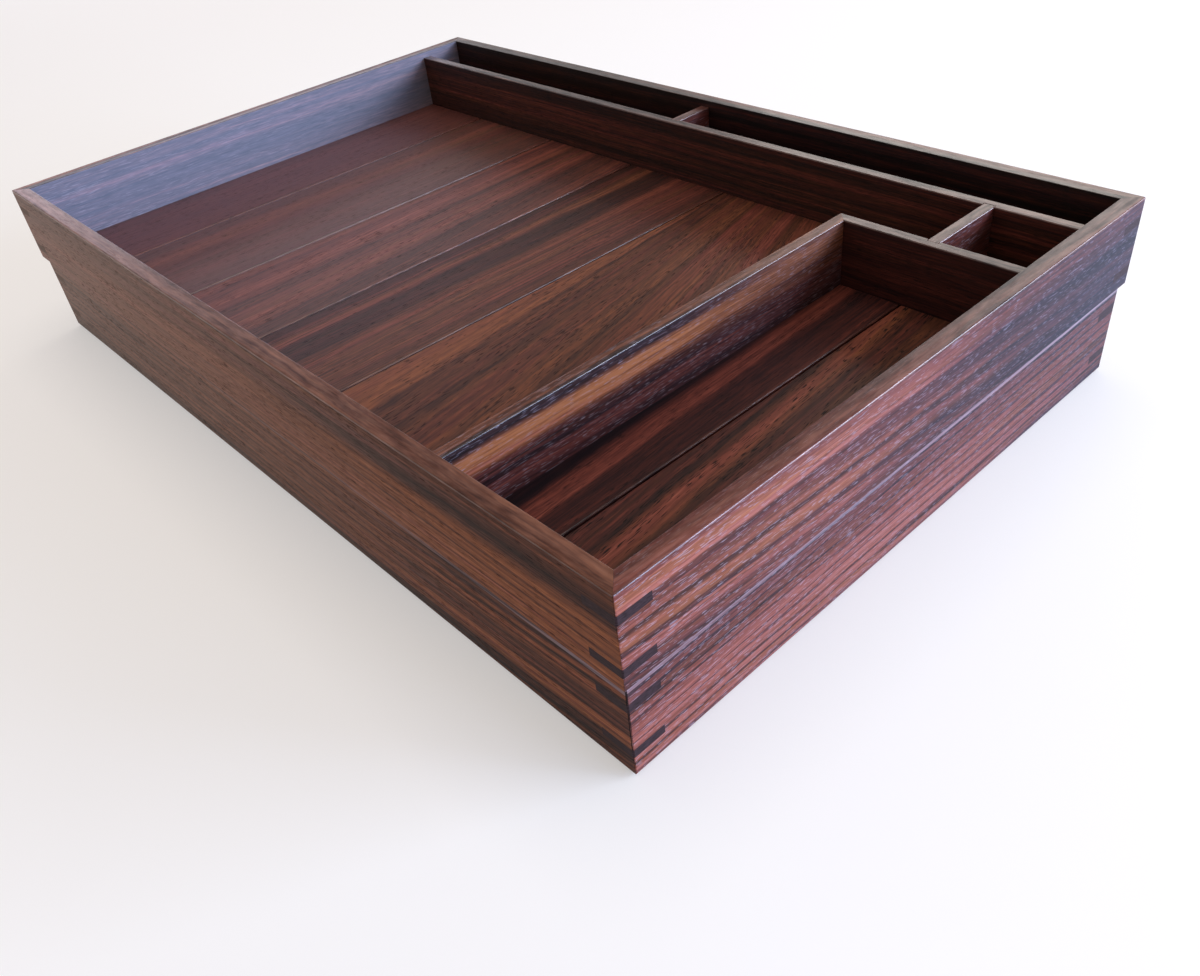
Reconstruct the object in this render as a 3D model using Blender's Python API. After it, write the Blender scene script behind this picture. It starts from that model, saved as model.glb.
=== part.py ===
"""Two stacked wooden desk trays: an organiser tray with fixed dividers that lifts off a plain lower tray.

Metres, +Z up. The origin is the centre of the underside. +X runs along the long side, -Y is the
front, and the row of narrow pen slots is at the back. Every wall is mitred at its corners and each
corner is locked by two thin triangular keys let into saw slots.
"""
import math

import bmesh
import bpy
from mathutils import Vector

# Outer size of the organiser tray
TRAY_LENGTH = 0.400
TRAY_WIDTH = 0.260
UPPER_HEIGHT = 0.034
LOWER_HEIGHT = 0.037
# The lower tray stands this far inside the upper tray's outline, all round
LOWER_INSET = 0.0015

# Walls
WALL_THICKNESS = 0.0062
ARRIS_EASE = 0.0004
FOOT_ROUND = 0.0015
REBATE_DEPTH = 0.003

# Floor planks, which run from front to back and overlap each other in half laps
FLOOR_THICKNESS = 0.005
PLANK_COUNT = 7
END_PLANK_SHOWS = 0.045
PLANK_GAP = 0.0008
PLANK_LAP = 0.004
PLANK_EASE = 0.0003

# Dividers of the organiser tray
DIVIDER_THICKNESS = 0.0047
DIVIDER_DROP = 0.003
PEN_ROW_WIDTH = 0.019
LEFT_PEN_SLOT = 0.190
SMALL_TRAY_WIDTH = 0.0711
CUP_WIDTH = 0.034
CUP_DEPTH = 0.034
WALL_HOUSING = 0.002
DIVIDER_HOUSING = 0.0015

# Corner keys, two at each corner of each tray. The top one's middle is measured down from the rim,
# and the bottom one's up from the tray's underside
KEY_LEG = 0.012
KEY_THICKNESS = 0.0032
TOP_KEY_DROP = 0.0086
UPPER_TRAY_KEY_RISE = 0.007
LOWER_TRAY_KEY_RISE = 0.010

# Battens under the organiser tray, which drop inside the lower tray's walls
BATTEN_WIDTH = 0.008
BATTEN_DEPTH = 0.006
BATTEN_PLAY = 0.001
BATTEN_EASE = 0.001

# Clearance between pieces that touch, and how far a cut runs past what it cuts
JOINT_GAP = 0.0003
OVERRUN = 0.002

# Colours, roughness
ROSEWOOD = ("rosewood", (0.115, 0.045, 0.028, 1.0), 0.45)
PLANK_WOOD = ("rosewood_planks", (0.075, 0.030, 0.020, 1.0), 0.50)
DARK_WOOD = ("dark_keys", (0.025, 0.016, 0.013, 1.0), 0.45)

# Derived sizes
UPPER_BASE = LOWER_HEIGHT + JOINT_GAP
LAP_LEVEL = FLOOR_THICKNESS / 2
DIVIDER_FOOT = FLOOR_THICKNESS + JOINT_GAP
DIVIDER_TOP = UPPER_HEIGHT - DIVIDER_DROP
INNER_X = TRAY_LENGTH / 2 - WALL_THICKNESS
INNER_Y = TRAY_WIDTH / 2 - WALL_THICKNESS
# A gap measured square to a 45 degree face, as a shift along the piece
MITRE_SHIFT = JOINT_GAP * math.sqrt(2) / 2
SLOT_LEG = KEY_LEG + JOINT_GAP * math.sqrt(2)


def new_collection(name):
    collection = bpy.data.collections.new(name)
    bpy.context.scene.collection.children.link(collection)
    return collection


def make_material(name, colour, roughness):
    material = bpy.data.materials.new(name)
    material.use_nodes = True
    shader = material.node_tree.nodes["Principled BSDF"]
    shader.inputs["Base Color"].default_value = colour
    shader.inputs["Roughness"].default_value = roughness
    shader.inputs["Metallic"].default_value = 0.0
    return material


def add_object(name, mesh, wood, parent):
    """A finished piece, with a material of its own."""
    piece = bpy.data.objects.new(name, mesh)
    PIECES.objects.link(piece)
    piece.parent = parent
    if wood:
        piece.data.materials.append(make_material(f"{name}_{wood[0]}", wood[1], wood[2]))
    return piece


def make_cutter(piece):
    """Turn a piece into a cutter, which isn't part of the object."""
    PIECES.objects.unlink(piece)
    CUTTERS.objects.link(piece)
    piece.hide_render = True
    piece.display_type = "WIRE"
    return piece


def block(name, low, high, wood, parent):
    """A square-cut stick between two corners."""
    low = Vector(low)
    high = Vector(high)
    mesh = bpy.data.meshes.new(name)
    bm = bmesh.new()
    bmesh.ops.create_cube(bm, size=1.0)
    bmesh.ops.scale(bm, vec=high - low, verts=bm.verts)
    bm.to_mesh(mesh)
    bm.free()
    piece = add_object(name, mesh, wood, parent)
    piece.location = (low + high) / 2
    return piece


def plate(name, outline, thickness, wood, parent):
    """A flat outline in XY, extruded up from zero to its thickness, as a closed mesh."""
    curve = bpy.data.curves.new(name, "CURVE")
    curve.dimensions = "2D"
    curve.fill_mode = "BOTH"
    curve.extrude = thickness / 2
    spline = curve.splines.new("POLY")
    spline.points.add(len(outline) - 1)
    for point, (x, y) in zip(spline.points, outline):
        point.co = (x, y, 0, 1)
    spline.use_cyclic_u = True
    guide = bpy.data.objects.new(f"{name}_outline", curve)
    bpy.context.scene.collection.objects.link(guide)
    bpy.context.view_layer.update()
    depsgraph = bpy.context.evaluated_depsgraph_get()
    mesh = bpy.data.meshes.new_from_object(guide.evaluated_get(depsgraph))
    mesh.name = name
    bpy.data.objects.remove(guide)
    bm = bmesh.new()
    bm.from_mesh(mesh)
    bmesh.ops.remove_doubles(bm, verts=bm.verts, dist=0.00001)
    bmesh.ops.translate(bm, vec=(0, 0, thickness / 2), verts=bm.verts)
    bmesh.ops.recalc_face_normals(bm, faces=bm.faces)
    bm.to_mesh(mesh)
    bm.free()
    mesh.materials.clear()
    return add_object(name, mesh, wood, parent)


def cut(piece, cutter):
    modifier = piece.modifiers.new(cutter.name, "BOOLEAN")
    modifier.operation = "DIFFERENCE"
    modifier.solver = "EXACT"
    modifier.object = cutter


def ease_edges(piece, width, segments, chosen):
    """Round the edges along a piece's own X whose two ends both pass the test."""
    bm = bmesh.new()
    bm.from_mesh(piece.data)
    edges = []
    for edge in bm.edges:
        along = edge.verts[1].co - edge.verts[0].co
        if abs(along.x) > along.length / 2 and all(chosen(vert.co) for vert in edge.verts):
            if max(abs(along.y), abs(along.z)) < JOINT_GAP:
                edges.append(edge)
    bmesh.ops.bevel(bm, geom=edges, offset=width, segments=segments, affect="EDGES")
    bm.to_mesh(piece.data)
    bm.free()


def key_outline(leg):
    """A right-angled triangle with its square corner at the tray's outer corner."""
    return [(0, 0), (leg, 0), (0, leg)]


def corner_places(length, width):
    """Each corner's name, its place and the turn that points +X and +Y into the tray."""
    return [
        ("front_left", (-length / 2, -width / 2), 0),
        ("front_right", (length / 2, -width / 2), math.pi / 2),
        ("back_right", (length / 2, width / 2), math.pi),
        ("back_left", (-length / 2, width / 2), -math.pi / 2),
    ]


def wall_places(length, width):
    """Each wall's name, length, outer face centre and turn; local +Y points into the tray."""
    return [
        ("front", length, (0, -width / 2), 0),
        ("right", width, (length / 2, 0), math.pi / 2),
        ("back", length, (0, width / 2), math.pi),
        ("left", width, (-length / 2, 0), -math.pi / 2),
    ]


def key_levels(height, rise):
    """Heights of the two keys' undersides above the tray's own underside, by the keys' names."""
    half = KEY_THICKNESS / 2
    return {"top": height - TOP_KEY_DROP - half, "bottom": rise - half}


def build_walls(prefix, length, width, height, rise, foot_round, parent):
    """Four mitred walls, rebated for the floor and slotted for the corner keys."""
    slots = []
    for corner, place, turn in corner_places(length, width):
        for storey, level in key_levels(height, rise).items():
            slot_height = KEY_THICKNESS + 2 * JOINT_GAP
            name = f"{prefix}_slot_{corner}_{storey}"
            # The slot starts outside the corner, so its outline is the key's moved out along the diagonal
            outline = key_outline(SLOT_LEG + 2 * OVERRUN)
            slot = make_cutter(plate(name, [(x - OVERRUN, y - OVERRUN) for x, y in outline],
                                     slot_height, None, parent))
            slot.location = (*place, level - JOINT_GAP)
            slot.rotation_euler = (0, 0, turn)
            slots.append(slot)
    rebate_half_x = length / 2 - WALL_THICKNESS + REBATE_DEPTH
    rebate_half_y = width / 2 - WALL_THICKNESS + REBATE_DEPTH
    rebate = make_cutter(block(f"{prefix}_rebate", (-rebate_half_x, -rebate_half_y, -OVERRUN),
                               (rebate_half_x, rebate_half_y, DIVIDER_FOOT), None, parent))
    walls = {}
    for side, run, place, turn in wall_places(length, width):
        outer = run / 2 - MITRE_SHIFT
        inner = outer - WALL_THICKNESS
        outline = [(-outer, 0), (outer, 0), (inner, WALL_THICKNESS), (-inner, WALL_THICKNESS)]
        wall = plate(f"{prefix}_{side}_wall", outline, height, ROSEWOOD, parent)
        middle = height / 2
        ease_edges(wall, ARRIS_EASE, 2, lambda co: co.z > middle)
        ease_edges(wall, foot_round, 3, lambda co: co.z < JOINT_GAP / 2 and co.y < JOINT_GAP / 2)
        wall.location = (*place, 0)
        wall.rotation_euler = (0, 0, turn)
        cut(wall, rebate)
        for slot in slots:
            if side in slot.name:
                cut(wall, slot)
        walls[side] = wall
    return walls


def build_keys(prefix, length, width, height, rise, parent):
    """Two triangular keys in each corner, one above the other."""
    for corner, place, turn in corner_places(length, width):
        for storey, level in key_levels(height, rise).items():
            key = plate(f"{prefix}_key_{corner}_{storey}", key_outline(KEY_LEG), KEY_THICKNESS, DARK_WOOD,
                        parent)
            key.location = (*place, level)
            key.rotation_euler = (0, 0, turn)


def plank_outline(left, right, laps_left, laps_right):
    """Cross-section of one plank, x across it and y up, eased along its upper edges."""
    top = FLOOR_THICKNESS
    shelf = LAP_LEVEL - JOINT_GAP / 2
    roof = LAP_LEVEL + JOINT_GAP / 2
    left_edge = [(left, 0), (left, top - PLANK_EASE)]
    if laps_left:
        tongue = left - PLANK_LAP
        left_edge = [(tongue, 0), (tongue, shelf), (left, shelf), (left, top - PLANK_EASE)]
    right_edge = [(right, top - PLANK_EASE), (right, 0)]
    if laps_right:
        cheek = right - PLANK_LAP
        right_edge = [(right, top - PLANK_EASE), (right, roof), (cheek, roof), (cheek, 0)]
    return left_edge + [(left + PLANK_EASE, top), (right - PLANK_EASE, top)] + right_edge


def build_floor(prefix, length, width, parent):
    """Planks laid symmetrically about a middle plank, the two end ones ripped to what is left."""
    edge = length / 2 - WALL_THICKNESS + REBATE_DEPTH - JOINT_GAP
    run = width - 2 * (WALL_THICKNESS - REBATE_DEPTH + JOINT_GAP)
    whole = PLANK_COUNT - 2
    pitch = (TRAY_LENGTH - 2 * WALL_THICKNESS - 2 * END_PLANK_SHOWS) / whole
    joints = [(step - whole / 2) * pitch for step in range(whole + 1)]
    lefts = [-edge] + [joint + PLANK_GAP / 2 for joint in joints]
    rights = [joint - PLANK_GAP / 2 for joint in joints] + [edge]
    last = len(lefts) - 1
    for number, (left, right) in enumerate(zip(lefts, rights)):
        middle = (left + right) / 2
        outline = plank_outline(left - middle, right - middle, number > 0, number < last)
        plank = plate(f"{prefix}_floor_plank_{number + 1}", outline, run, PLANK_WOOD, parent)
        plank.rotation_euler = (math.pi / 2, 0, 0)
        plank.location = (middle, run / 2, 0)


def build_tray(prefix, length, width, height, rise, foot_round, parent):
    walls = build_walls(prefix, length, width, height, rise, foot_round, parent)
    build_keys(prefix, length, width, height, rise, parent)
    build_floor(prefix, length, width, parent)
    return walls


def house(piece, name, low, high, parent):
    """Cut the shallow housing that a divider's end sits in, with clearance all round."""
    gap = Vector((JOINT_GAP, JOINT_GAP, JOINT_GAP))
    cutter = make_cutter(block(name, Vector(low) - gap, Vector(high) + gap, None, parent))
    cut(piece, cutter)


def build_dividers(walls, parent):
    """The long divider, the two cross dividers and the two walls of the small tray."""
    # Faces of the dividers, from the back wall forwards and from the right wall leftwards
    pen_front = INNER_Y - PEN_ROW_WIDTH
    long_front = pen_front - DIVIDER_THICKNESS
    small_back = long_front - CUP_DEPTH
    small_front = small_back - DIVIDER_THICKNESS
    cup_right = INNER_X - CUP_WIDTH
    cup_left = cup_right - DIVIDER_THICKNESS
    small_right = INNER_X - SMALL_TRAY_WIDTH
    small_left = small_right - DIVIDER_THICKNESS
    pen_left = -INNER_X + LEFT_PEN_SLOT
    pen_right = pen_left + DIVIDER_THICKNESS
    housed_x = INNER_X + WALL_HOUSING
    housed_y = INNER_Y + WALL_HOUSING
    foot = DIVIDER_FOOT
    top = DIVIDER_TOP
    tall = top - foot

    long_divider = block("long_divider", (-housed_x, long_front, foot), (housed_x, pen_front, top),
                         ROSEWOOD, parent)
    house(walls["left"], "housing_long_left", (-housed_x, long_front, foot),
          (-INNER_X + OVERRUN, pen_front, top), parent)
    house(walls["right"], "housing_long_right", (INNER_X - OVERRUN, long_front, foot),
          (housed_x, pen_front, top), parent)

    pen_start = pen_front - DIVIDER_HOUSING
    block("pen_slot_divider", (pen_left, pen_start, foot), (pen_right, housed_y, top), ROSEWOOD, parent)
    house(walls["back"], "housing_pen_back", (pen_left, INNER_Y - OVERRUN, foot),
          (pen_right, housed_y, top), parent)
    house(long_divider, "housing_pen_front", (pen_left, pen_start, foot - OVERRUN),
          (pen_right, pen_front + OVERRUN, top + OVERRUN), parent)

    # The small tray's two walls are mitred where they meet
    mitre = DIVIDER_THICKNESS + MITRE_SHIFT
    side = plate("small_tray_side_wall",
                 [(small_left, -housed_y), (small_right, -housed_y), (small_right, small_back - mitre),
                  (small_left, small_back - MITRE_SHIFT)], tall, ROSEWOOD, parent)
    side.location = (0, 0, foot)
    house(walls["front"], "housing_small_side", (small_left, -housed_y, foot),
          (small_right, -INNER_Y + OVERRUN, top), parent)
    back = plate("small_tray_back_wall",
                 [(small_left + mitre, small_front), (housed_x, small_front), (housed_x, small_back),
                  (small_left + MITRE_SHIFT, small_back)], tall, ROSEWOOD, parent)
    back.location = (0, 0, foot)
    house(walls["right"], "housing_small_back", (INNER_X - OVERRUN, small_front, foot),
          (housed_x, small_back, top), parent)

    cup_start = small_back - DIVIDER_HOUSING
    cup_end = long_front + DIVIDER_HOUSING
    block("cup_divider", (cup_left, cup_start, foot), (cup_right, cup_end, top), ROSEWOOD, parent)
    house(back, "housing_cup_front", (cup_left, cup_start, foot - OVERRUN),
          (cup_right, small_back + OVERRUN, top + OVERRUN), parent)
    house(long_divider, "housing_cup_back", (cup_left, long_front - OVERRUN, foot - OVERRUN),
          (cup_right, cup_end, top + OVERRUN), parent)


def build_battens(parent):
    """Two battens glued across the planks' undersides, with play inside the lower tray."""
    half_x = TRAY_LENGTH / 2 - LOWER_INSET - WALL_THICKNESS - BATTEN_PLAY
    outer_y = TRAY_WIDTH / 2 - LOWER_INSET - WALL_THICKNESS - BATTEN_PLAY
    inner_y = outer_y - BATTEN_WIDTH
    for name, low_y, high_y in (("front", -outer_y, -inner_y), ("back", inner_y, outer_y)):
        batten = block(f"locating_batten_{name}", (-half_x, low_y, -JOINT_GAP - BATTEN_DEPTH),
                       (half_x, high_y, -JOINT_GAP), ROSEWOOD, parent)
        ease_edges(batten, BATTEN_EASE, 1, lambda co: co.z < 0)


def tray_empty(name, height):
    """The empty that carries one tray, on the upright axis along which the trays part."""
    empty = bpy.data.objects.new(name, None)
    PIECES.objects.link(empty)
    empty.location = (0, 0, height)
    return empty


def build():
    lower = tray_empty("lower_tray", 0)
    upper = tray_empty("upper_tray", UPPER_BASE)
    build_tray("lower", TRAY_LENGTH - 2 * LOWER_INSET, TRAY_WIDTH - 2 * LOWER_INSET, LOWER_HEIGHT,
               LOWER_TRAY_KEY_RISE, FOOT_ROUND, lower)
    walls = build_tray("upper", TRAY_LENGTH, TRAY_WIDTH, UPPER_HEIGHT, UPPER_TRAY_KEY_RISE, ARRIS_EASE,
                       upper)
    build_dividers(walls, upper)
    build_battens(upper)


for old in list(bpy.data.objects):
    bpy.data.objects.remove(old, do_unlink=True)
PIECES = new_collection("stacking_desk_trays")
CUTTERS = new_collection("cutters")
build()
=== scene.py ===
"""Looks of the two stacked desk trays: dark rosewood boards, mitred, keyed and lightly eased by hand."""
import math

import bpy
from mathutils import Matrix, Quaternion, Vector


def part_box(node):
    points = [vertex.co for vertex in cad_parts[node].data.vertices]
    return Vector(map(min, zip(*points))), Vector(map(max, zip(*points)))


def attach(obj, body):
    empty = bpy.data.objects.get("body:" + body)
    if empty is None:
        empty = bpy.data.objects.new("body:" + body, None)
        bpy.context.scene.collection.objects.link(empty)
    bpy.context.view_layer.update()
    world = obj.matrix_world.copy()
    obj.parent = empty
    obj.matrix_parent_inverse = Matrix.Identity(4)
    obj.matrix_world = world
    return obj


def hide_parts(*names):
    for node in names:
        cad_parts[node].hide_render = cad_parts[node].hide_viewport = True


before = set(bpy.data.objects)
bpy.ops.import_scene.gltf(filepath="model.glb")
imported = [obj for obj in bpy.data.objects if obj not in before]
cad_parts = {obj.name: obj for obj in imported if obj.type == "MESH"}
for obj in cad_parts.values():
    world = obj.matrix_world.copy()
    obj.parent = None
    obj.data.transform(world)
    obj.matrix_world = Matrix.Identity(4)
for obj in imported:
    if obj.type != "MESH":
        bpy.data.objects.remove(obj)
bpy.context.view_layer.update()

MM = 0.001
X, Y, Z = 0, 1, 2

# Hand finish of the boards, in metres
TIGHT = 0.02 * MM
ARRIS = 0.55 * MM
INNER_ARRIS = 0.2 * MM
DIVIDER_ARRIS = 0.4 * MM
PLANK_ARRIS = 0.6 * MM
CORNER_EASE = 0.3 * MM
FOOT_ROUND = {"lower": 2.0 * MM, "upper": 1.0 * MM}
TRAY_CORNER_ROUND = 1 * MM
BATTEN_ROUND = 1 * MM
PLANK_GAP = 0.8 * MM
FOOT_DROP = 0.28 * MM
OVERRUN = 2 * MM

# Steps in which an edge is rounded
FINE_STEPS = 3
ARRIS_STEPS = 4
ROUND_STEPS = 6

# Tests of how an edge or a face lies
STRAIGHT = 0.9
SQUARE = 0.999
SLANTING = 0.6
SMOOTH_ANGLE = math.radians(35)

# How far hands have polished each place, from 0 to 1, and how strong the painted highlight on the planks' lit
# edges is
POLISHED_ARRIS = 1.0
POLISHED_TOP = 0.7
POLISHED_SIDE_WALL_TOP = 0.3
PLANK_GLINT = 0.6

TRAYS = ("lower", "upper")
SIDES = ("front", "right", "back", "left")
CORNERS = {"front_left": (-1, -1), "front_right": (1, -1), "back_right": (1, 1), "back_left": (-1, 1)}
STOREYS = ("top", "bottom")
PLANKS = range(1, 8)
DIVIDERS = {"long_divider": X, "pen_slot_divider": Y, "cup_divider": Y, "small_tray_side_wall": Y,
            "small_tray_back_wall": X}
BATTENS = ("locating_batten_front", "locating_batten_back")
# Which dividers' ends are let into each piece
HOUSINGS = {
    ("upper", "right"): ("long_divider", "small_tray_back_wall"),
    ("upper", "left"): ("long_divider",),
    ("upper", "front"): ("small_tray_side_wall",),
    ("upper", "back"): ("pen_slot_divider",),
    "long_divider": ("pen_slot_divider", "cup_divider"),
    "small_tray_back_wall": ("cup_divider",),
}
# Seeds keep the grain of one board apart from the next
WALL_SEEDS = {"lower": 1, "upper": 11}
PLANK_SEEDS = {"lower": 30, "upper": 50}
DIVIDER_SEED = 60
BATTEN_SEED = 70

# The photograph's camera: its place, the point on the rim's level that it looks at, its turn and lens
CAMERA_PLACE = (0.33054, -0.23556, 0.23695)
CAMERA_AIM = (0.16936, -0.10503, 0.07127)
CAMERA_ROLL = -7.08
CAMERA_LENS = 31.13
SENSOR_WIDTH = 36.0

# Each lamp's place, aim and size in metres, the brightness of its face, and its colour
LAMPS = {
    "window": ((1.15, 0.96, 0.52), (0, 0, 0.05), (0.9, 0.5), 19.0, (0.64, 0.76, 1.0)),
    "low_window": ((1.50, 0.50, 0.24), (-0.19, 0, 0.06), (0.8, 0.3), 25.0, (0.34, 0.54, 1.0)),
    "far_window": ((-0.55, 1.65, 0.85), (0, 0, 0.05), (1.2, 0.5), 2.2, (1.0, 0.95, 0.88)),
    "side_window": ((-1.50, 0.50, 0.40), (0, 0, 0.05), (0.8, 0.45), 1.6, (0.85, 0.78, 1.0)),
    "overhead": ((0.0, 0.25, 1.7), (0, 0, 0.05), (1.3, 1.0), 2.3, (1.0, 0.90, 0.80)),
}
# The world lights the wood with its soft colour, and shows white from its horizon up to grey overhead
SOFT_COLOUR = (1.0, 0.86, 0.78, 1)
SOFT_STRENGTH = 0.5
WHITE = (1, 1, 1, 1)
OVERHEAD_GREY = (0.2, 0.2, 0.21, 1)
HORIZON_TO_OVERHEAD = (0.08, 0.45)
# The floor's paper glows more with distance, between these two, so that it fades to white
PAPER_SIZE = 16
PAPER_DROP = 0.05 * MM
PAPER_COLOUR = (0.90, 0.90, 0.90, 1)
PAPER_ROUGHNESS = 0.9
PAPER_GLOSS = 0.1
PAPER_GLOW = 0.4
PAPER_NEAR = 0.45
PAPER_FAR = 2.0


# Modelling

def select_nothing():
    for other in bpy.context.selected_objects:
        other.select_set(False)


def select_only(piece):
    select_nothing()
    piece.select_set(True)
    bpy.context.view_layer.objects.active = piece


def stick(name, low, high):
    """A squared stick between two corners, with its object at the origin."""
    low = Vector(low)
    high = Vector(high)
    select_nothing()
    bpy.ops.mesh.primitive_cube_add(size=1, location=(low + high) / 2, scale=high - low)
    piece = bpy.context.active_object
    piece.name = name
    piece.data.name = name
    bpy.ops.object.transform_apply(location=True, rotation=True, scale=True)
    return piece


def saw(piece, point, normal):
    """Saw off what lies on the normal's side of a plane, and close the cut."""
    select_only(piece)
    bpy.ops.object.mode_set(mode="EDIT")
    bpy.ops.mesh.select_all(action="SELECT")
    bpy.ops.mesh.bisect(plane_co=point, plane_no=normal, use_fill=True, clear_outer=True)
    bpy.ops.object.mode_set(mode="OBJECT")


def ease(piece, width, segments, chosen):
    """Round the edges whose two ends pass the test."""
    select_only(piece)
    bpy.ops.object.mode_set(mode="EDIT")
    bpy.ops.mesh.select_mode(type="EDGE")
    bpy.ops.mesh.select_all(action="DESELECT")
    bpy.ops.object.mode_set(mode="OBJECT")
    mesh = piece.data
    for edge in mesh.edges:
        one, two = (mesh.vertices[index].co for index in edge.vertices)
        edge.select = chosen(one, two)
    bpy.ops.object.mode_set(mode="EDIT")
    bpy.ops.mesh.bevel(offset=width, segments=segments, affect="EDGES")
    bpy.ops.object.mode_set(mode="OBJECT")


def runs_along(one, two, axis):
    span = two - one
    return abs(span[axis]) > STRAIGHT * span.length


def carve(piece, cutter):
    """Cut a piece with another, which is used up."""
    select_only(piece)
    cut = piece.modifiers.new("cut", "BOOLEAN")
    cut.operation = "DIFFERENCE"
    cut.solver = "EXACT"
    cut.object = cutter
    bpy.ops.object.modifier_apply(modifier=cut.name)
    bpy.data.objects.remove(cutter)


def carve_box(piece, low, high):
    carve(piece, stick("cutter", low, high))


def carve_housing(piece, node):
    """Let the end of a divider into a piece."""
    low, high = divider_box(node)
    play = Vector((TIGHT, TIGHT, TIGHT))
    carve_box(piece, low - play, high + play)


def polish_and_glint_of(face, node):
    """How far hands have polished one face: arrises most, then flat tops. The planks' right edges, which face
    the lamps, get a painted highlight.
    """
    rounded = max(abs(part) for part in face.normal) < SQUARE and face.normal.z > 1 - SQUARE
    if "plank" in node:
        # The first plank's edge gets no painted highlight
        glints = rounded and face.normal.x > 0 and not node.endswith(f"plank_{PLANKS[0]}")
        return PLANK_GLINT if glints else 0.0
    if rounded:
        return POLISHED_ARRIS
    if face.normal.z <= SQUARE:
        return 0.0
    return POLISHED_SIDE_WALL_TOP if node == "small_tray_side_wall" else POLISHED_TOP


def finish_piece(piece, node, material):
    """Mark a piece's polished faces, the painted highlights on the planks' lit edges and its mitred faces,
    give it its wood, and let it stand for its node.
    """
    piece.name = f"fine_{node}"
    mesh = piece.data
    mesh.materials.clear()
    mesh.materials.append(material)
    worn = mesh.attributes.new("worn", "FLOAT", "FACE")
    mitred = mesh.attributes.new("mitred", "FLOAT", "FACE")
    for face in mesh.polygons:
        worn.data[face.index].value = polish_and_glint_of(face, node)
        slanting = min(abs(face.normal.x), abs(face.normal.y)) > SLANTING
        mitred.data[face.index].value = 1.0 if slanting else 0.0
    select_only(piece)
    bpy.ops.object.shade_smooth_by_angle(angle=SMOOTH_ANGLE)
    # The rounding of an arris doesn't reach into the shading of the flats beside it
    piece.modifiers.new("true_flats", "WEIGHTED_NORMAL").keep_sharp = True
    bpy.ops.object.modifier_apply(modifier="true_flats")
    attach(piece, "lower_tray" if node.startswith("lower") else "upper_tray")
    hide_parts(node)


def tray_box(tray):
    """The lowest and highest corners of one tray's four walls, and the walls' thickness."""
    boxes = {side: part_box(f"{tray}_{side}_wall") for side in SIDES}
    low = Vector((boxes["left"][0].x, boxes["front"][0].y, boxes["front"][0].z))
    high = Vector((boxes["right"][1].x, boxes["back"][1].y, boxes["front"][1].z))
    return low, high, boxes["front"][1].y - boxes["front"][0].y


def divider_box(node):
    low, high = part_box(node)
    return Vector((low.x, low.y, low.z - FOOT_DROP)), Vector(high)


def key_piece(node, corner, grow):
    """A triangular key in a tray's corner, or the slot for it when it is grown."""
    low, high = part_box(node)
    sign = Vector((*CORNERS[corner], 0))
    outer = Vector((high.x if sign.x > 0 else low.x, high.y if sign.y > 0 else low.y, 0))
    leg = high.x - low.x + grow * math.sqrt(2)
    near = outer - sign * leg
    far = outer + sign * (OVERRUN if grow else 0)
    piece = stick(node, (min(near.x, far.x), min(near.y, far.y), low.z - grow),
                  (max(near.x, far.x), max(near.y, far.y), high.z + grow))
    saw(piece, outer - sign * (leg / 2), -sign)
    if not grow:
        saw(piece, outer - sign.normalized() * CORNER_EASE, sign)
    return piece


def mitre(piece, tray, corner, grain):
    """Saw a wall's end at 45 degrees, and take the sharp edge off the tray's corner."""
    low, high, _ = tray_box(tray)
    sign_x, sign_y = CORNERS[corner]
    point = Vector((high.x if sign_x > 0 else low.x, high.y if sign_y > 0 else low.y, 0))
    across = Vector((sign_x, -sign_y, 0)).normalized()
    if grain == Y:
        across = -across
    saw(piece, point - across * TIGHT, across)
    outward = Vector((sign_x, sign_y, 0)).normalized()
    saw(piece, point - outward * CORNER_EASE, outward)


def make_wall(tray, side):
    """One wall, mitred at both ends, eased, and cut for the floor, the keys and the dividers."""
    low, high, thick = tray_box(tray)
    grain = X if side in ("front", "back") else Y
    depth = Y if grain == X else X
    outer_low = side in ("front", "left")
    start = Vector(low)
    end = Vector(high)
    if outer_low:
        end[depth] = low[depth] + thick
    else:
        start[depth] = high[depth] - thick
    face = start[depth] if outer_low else end[depth]
    piece = stick(f"{tray}_{side}_wall", start, end)
    ease(piece, ARRIS, ARRIS_STEPS, lambda one, two: runs_along(one, two, grain)
         and one.z > high.z - TIGHT and abs(one[depth] - face) < TIGHT)
    ease(piece, INNER_ARRIS, FINE_STEPS, lambda one, two: runs_along(one, two, grain)
         and one.z > high.z - TIGHT and abs(one[depth] - face) > thick - TIGHT)
    ease(piece, FOOT_ROUND[tray], ROUND_STEPS, lambda one, two: runs_along(one, two, grain)
         and one.z < low.z + TIGHT and abs(one[depth] - face) < TIGHT)
    ends = [corner for corner in CORNERS if side in corner]
    for corner in ends:
        mitre(piece, tray, corner, grain)
    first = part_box(f"{tray}_floor_plank_{PLANKS[0]}")
    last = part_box(f"{tray}_floor_plank_{PLANKS[-1]}")
    carve_box(piece, (first[0].x - TIGHT, first[0].y - TIGHT, low.z - OVERRUN),
              (last[1].x + TIGHT, last[1].y + TIGHT, first[1].z + TIGHT))
    for corner in ends:
        for storey in STOREYS:
            carve(piece, key_piece(f"{tray}_key_{corner}_{storey}", corner, TIGHT))
    for node in HOUSINGS.get((tray, side), ()):
        carve_housing(piece, node)
    return piece


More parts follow.
